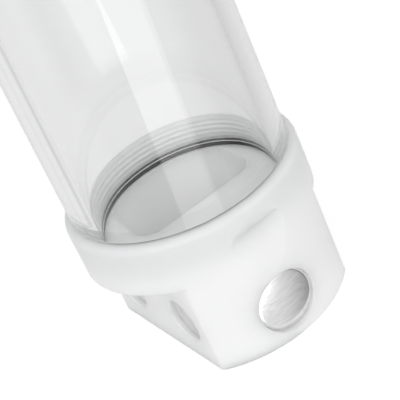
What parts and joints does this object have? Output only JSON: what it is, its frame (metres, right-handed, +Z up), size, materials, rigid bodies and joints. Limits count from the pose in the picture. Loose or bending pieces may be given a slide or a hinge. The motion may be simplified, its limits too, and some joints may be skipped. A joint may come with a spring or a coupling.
{
  "type": "water cooling reservoir",
  "caption": "Clear tube reservoir for a liquid cooling loop, screwed between a white ported base and cap.",
  "frame": {"origin": "centre of the base's flat underside, on the tube's axis", "axes": "+Z up along the tube, -Y towards the front with the badge, -X towards the side with the two open ports"},
  "size_m": [0.064, 0.064, 0.1551],
  "materials": {
    "white_plastic": "frosted white, slightly translucent",
    "white_plastic_plug": "frosted white, fine turned",
    "clear_acrylic": "clear, polished",
    "brushed_metal": "straight brushed",
    "nickel_plate": "satin nickel plate",
    "black_rubber": "smooth black",
    "adhesive": "thin transfer film"
  },
  "bodies": {
    "base": {"base_block": "white_plastic", "badge_adhesive": "adhesive", "badge_disc": "brushed_metal"},
    "tube_seal": {"base_o_ring": "black_rubber"},
    "tube": {"tube": "clear_acrylic"},
    "cap_seal": {"top_o_ring": "black_rubber"},
    "cap": {"top_cap": "white_plastic"},
    "fill_seal": {"fill_plug_o_ring": "black_rubber"},
    "fill_plug": {"fill_plug": "white_plastic_plug"},
    "top_right_seal": {"top_right_plug_o_ring": "black_rubber"},
    "top_right_plug": {"top_right_plug": "nickel_plate"},
    "top_left_seal": {"top_left_plug_o_ring": "black_rubber"},
    "top_left_plug": {"top_left_plug": "nickel_plate"},
    "right_front_seal": {"right_front_plug_o_ring": "black_rubber"},
    "right_front_plug": {"right_front_plug": "nickel_plate"},
    "right_rear_seal": {"right_rear_plug_o_ring": "black_rubber"},
    "right_rear_plug": {"right_rear_plug": "nickel_plate"}
  },
  "joints": [
    {"name": "tube_travel", "type": "slide", "parent": "base", "child": "tube_seal", "axis": [0, 0, 1], "range_m": [0, 0.0075]},
    {"name": "tube_turn", "type": "hinge", "parent": "tube_seal", "child": "tube", "pos_m": [0, 0, 0.0344], "axis": [0, 0, 1], "range_deg": [0, 1800]},
    {"name": "cap_travel", "type": "slide", "parent": "tube", "child": "cap_seal", "axis": [0, 0, 1], "range_m": [0, 0.0075]},
    {"name": "cap_turn", "type": "hinge", "parent": "cap_seal", "child": "cap", "pos_m": [0, 0, 0.1314], "axis": [0, 0, 1], "range_deg": [0, 1800]},
    {"name": "fill_plug_travel", "type": "slide", "parent": "cap", "child": "fill_seal", "axis": [0, 0, 1], "range_m": [0, 0.00535]},
    {"name": "fill_plug_turn", "type": "hinge", "parent": "fill_seal", "child": "fill_plug", "pos_m": [0, -0.0145, 0.1501], "axis": [0, 0, 1], "range_deg": [0, 1440]},
    {"name": "top_right_plug_travel", "type": "slide", "parent": "cap", "child": "top_right_seal", "axis": [0, 0, 1], "range_m": [0, 0.00535]},
    {"name": "top_right_plug_turn", "type": "hinge", "parent": "top_right_seal", "child": "top_right_plug", "pos_m": [0.01256, 0.00725, 0.1501], "axis": [0, 0, 1], "range_deg": [0, 1440]},
    {"name": "top_left_plug_travel", "type": "slide", "parent": "cap", "child": "top_left_seal", "axis": [0, 0, 1], "range_m": [0, 0.00535]},
    {"name": "top_left_plug_turn", "type": "hinge", "parent": "top_left_seal", "child": "top_left_plug", "pos_m": [-0.01256, 0.00725, 0.1501], "axis": [0, 0, 1], "range_deg": [0, 1440]},
    {"name": "right_front_plug_travel", "type": "slide", "parent": "base", "child": "right_front_seal", "axis": [1, 0, 0], "range_m": [0, 0.00401]},
    {"name": "right_front_plug_turn", "type": "hinge", "parent": "right_front_seal", "child": "right_front_plug", "pos_m": [0.023, -0.0133, 0.0122], "axis": [1, 0, 0], "range_deg": [0, 1080]},
    {"name": "right_rear_plug_travel", "type": "slide", "parent": "base", "child": "right_rear_seal", "axis": [1, 0, 0], "range_m": [0, 0.00401]},
    {"name": "right_rear_plug_turn", "type": "hinge", "parent": "right_rear_seal", "child": "right_rear_plug", "pos_m": [0.023, 0.0133, 0.0122], "axis": [1, 0, 0], "range_deg": [0, 1080]}
  ],
  "couplings": [
    {"joint": "tube_travel", "follows": "tube_turn", "m_per_rad": 0.00023873},
    {"joint": "cap_travel", "follows": "cap_turn", "m_per_rad": 0.00023873},
    {"joint": "fill_plug_travel", "follows": "fill_plug_turn", "m_per_rad": 0.00021279},
    {"joint": "top_right_plug_travel", "follows": "top_right_plug_turn", "m_per_rad": 0.00021279},
    {"joint": "top_left_plug_travel", "follows": "top_left_plug_turn", "m_per_rad": 0.00021279},
    {"joint": "right_front_plug_travel", "follows": "right_front_plug_turn", "m_per_rad": 0.00021279},
    {"joint": "right_rear_plug_travel", "follows": "right_rear_plug_turn", "m_per_rad": 0.00021279}
  ]
}
